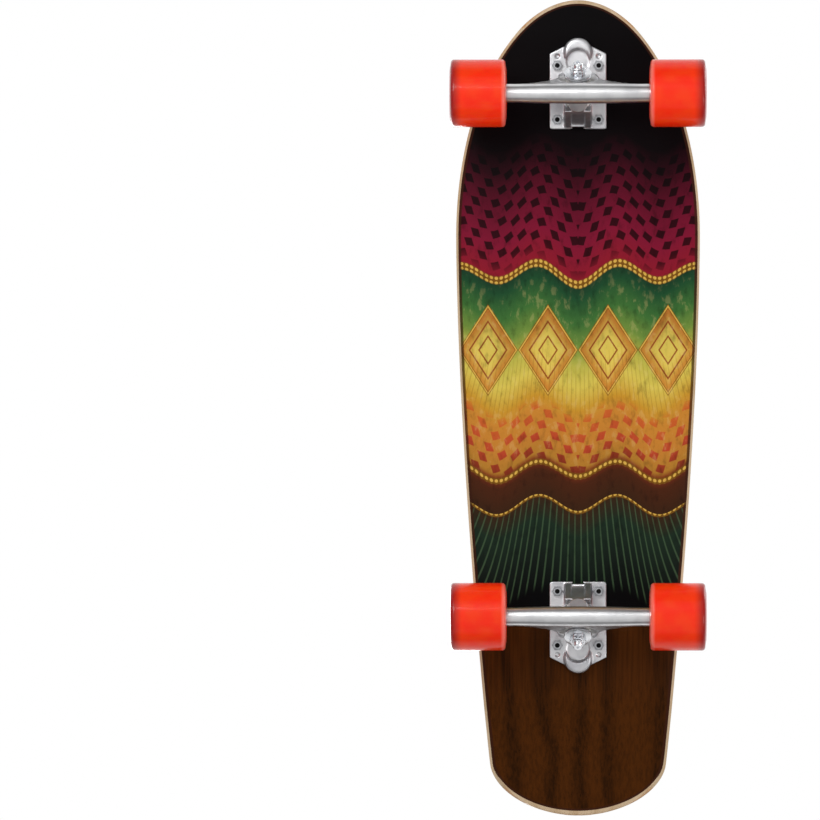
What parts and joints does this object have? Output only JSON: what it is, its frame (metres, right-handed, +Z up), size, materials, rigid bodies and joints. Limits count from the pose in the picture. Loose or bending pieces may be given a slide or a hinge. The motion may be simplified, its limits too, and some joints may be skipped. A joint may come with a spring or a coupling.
{
  "type": "cruiser skateboard",
  "caption": "Complete cruiser skateboard with a kicked, concave wooden deck, grip tape, reverse-kingpin trucks that steer and free-rolling urethane wheels.",
  "frame": {"origin": "on the ground, midway along and across the whole board", "axes": "+Y to the nose, +X to the rider's right, +Z up"},
  "size_m": [0.2546, 0.818, 0.1471],
  "materials": {
    "deck_print": "pressed maple laminate with a satin printed underside and rim",
    "grip": "coarse grit",
    "cast_aluminium": "raw, lightly brushed casting",
    "zinc_steel": "zinc plated",
    "axle_steel": "plain steel",
    "bearing_steel": "polished",
    "black_steel": "black oxide",
    "red_urethane": "translucent gloss",
    "white_urethane": "satin",
    "black_plastic": "satin"
  },
  "bodies": {
    "board": {"deck": "deck_print", "grip_tape": "grip", "front_baseplate": "cast_aluminium", "front_pivot_cup": "black_plastic", "front_kingpin": "zinc_steel", "front_kingpin_nut": "zinc_steel", "front_road_cup_washer": "zinc_steel", "front_board_cup_washer": "zinc_steel", "front_road_bushing": "white_urethane", "front_board_bushing": "white_urethane", "front_outer_left_bolt": "black_steel", "front_outer_right_bolt": "black_steel", "front_inner_left_bolt": "black_steel", "front_inner_right_bolt": "black_steel", "rear_baseplate": "cast_aluminium", "rear_pivot_cup": "black_plastic", "rear_kingpin": "zinc_steel", "rear_kingpin_nut": "zinc_steel", "rear_road_cup_washer": "zinc_steel", "rear_board_cup_washer": "zinc_steel", "rear_road_bushing": "white_urethane", "rear_board_bushing": "white_urethane", "rear_outer_left_bolt": "black_steel", "rear_outer_right_bolt": "black_steel", "rear_inner_left_bolt": "black_steel", "rear_inner_right_bolt": "black_steel"},
    "front_hanger": {"front_hanger": "cast_aluminium", "front_axle": "axle_steel", "front_left_inner_speed_washer": "zinc_steel", "front_left_outer_speed_washer": "zinc_steel", "front_left_spacer": "zinc_steel", "front_left_axle_nut": "zinc_steel", "front_right_inner_speed_washer": "zinc_steel", "front_right_outer_speed_washer": "zinc_steel", "front_right_spacer": "zinc_steel", "front_right_axle_nut": "zinc_steel"},
    "front_left_wheel": {"front_left_wheel": "red_urethane", "front_left_inner_bearing": "bearing_steel", "front_left_outer_bearing": "bearing_steel"},
    "front_right_wheel": {"front_right_wheel": "red_urethane", "front_right_inner_bearing": "bearing_steel", "front_right_outer_bearing": "bearing_steel"},
    "rear_hanger": {"rear_hanger": "cast_aluminium", "rear_axle": "axle_steel", "rear_left_inner_speed_washer": "zinc_steel", "rear_left_outer_speed_washer": "zinc_steel", "rear_left_spacer": "zinc_steel", "rear_left_axle_nut": "zinc_steel", "rear_right_inner_speed_washer": "zinc_steel", "rear_right_outer_speed_washer": "zinc_steel", "rear_right_spacer": "zinc_steel", "rear_right_axle_nut": "zinc_steel"},
    "rear_left_wheel": {"rear_left_wheel": "red_urethane", "rear_left_inner_bearing": "bearing_steel", "rear_left_outer_bearing": "bearing_steel"},
    "rear_right_wheel": {"rear_right_wheel": "red_urethane", "rear_right_inner_bearing": "bearing_steel", "rear_right_outer_bearing": "bearing_steel"}
  },
  "joints": [
    {"name": "front_steer", "type": "hinge", "parent": "board", "child": "front_hanger", "pos_m": [0, 0.318, 0.0705], "axis": [0, 0.6428, 0.766], "range_deg": [-18, 18], "stiffness_Nm_per_rad": 40, "deforming": ["front_road_bushing", "front_board_bushing"]},
    {"name": "front_left_spin", "type": "hinge", "parent": "front_hanger", "child": "front_left_wheel", "pos_m": [-0.099, 0.312, 0.0335], "axis": [1, 0, 0], "continuous": true},
    {"name": "front_right_spin", "type": "hinge", "parent": "front_hanger", "child": "front_right_wheel", "pos_m": [0.099, 0.312, 0.0335], "axis": [1, 0, 0], "continuous": true},
    {"name": "rear_steer", "type": "hinge", "parent": "board", "child": "rear_hanger", "pos_m": [0, -0.213, 0.0705], "axis": [0, -0.6428, 0.766], "range_deg": [-18, 18], "stiffness_Nm_per_rad": 40, "deforming": ["rear_road_bushing", "rear_board_bushing"]},
    {"name": "rear_left_spin", "type": "hinge", "parent": "rear_hanger", "child": "rear_left_wheel", "pos_m": [-0.099, -0.207, 0.0335], "axis": [1, 0, 0], "continuous": true},
    {"name": "rear_right_spin", "type": "hinge", "parent": "rear_hanger", "child": "rear_right_wheel", "pos_m": [0.099, -0.207, 0.0335], "axis": [1, 0, 0], "continuous": true}
  ]
}
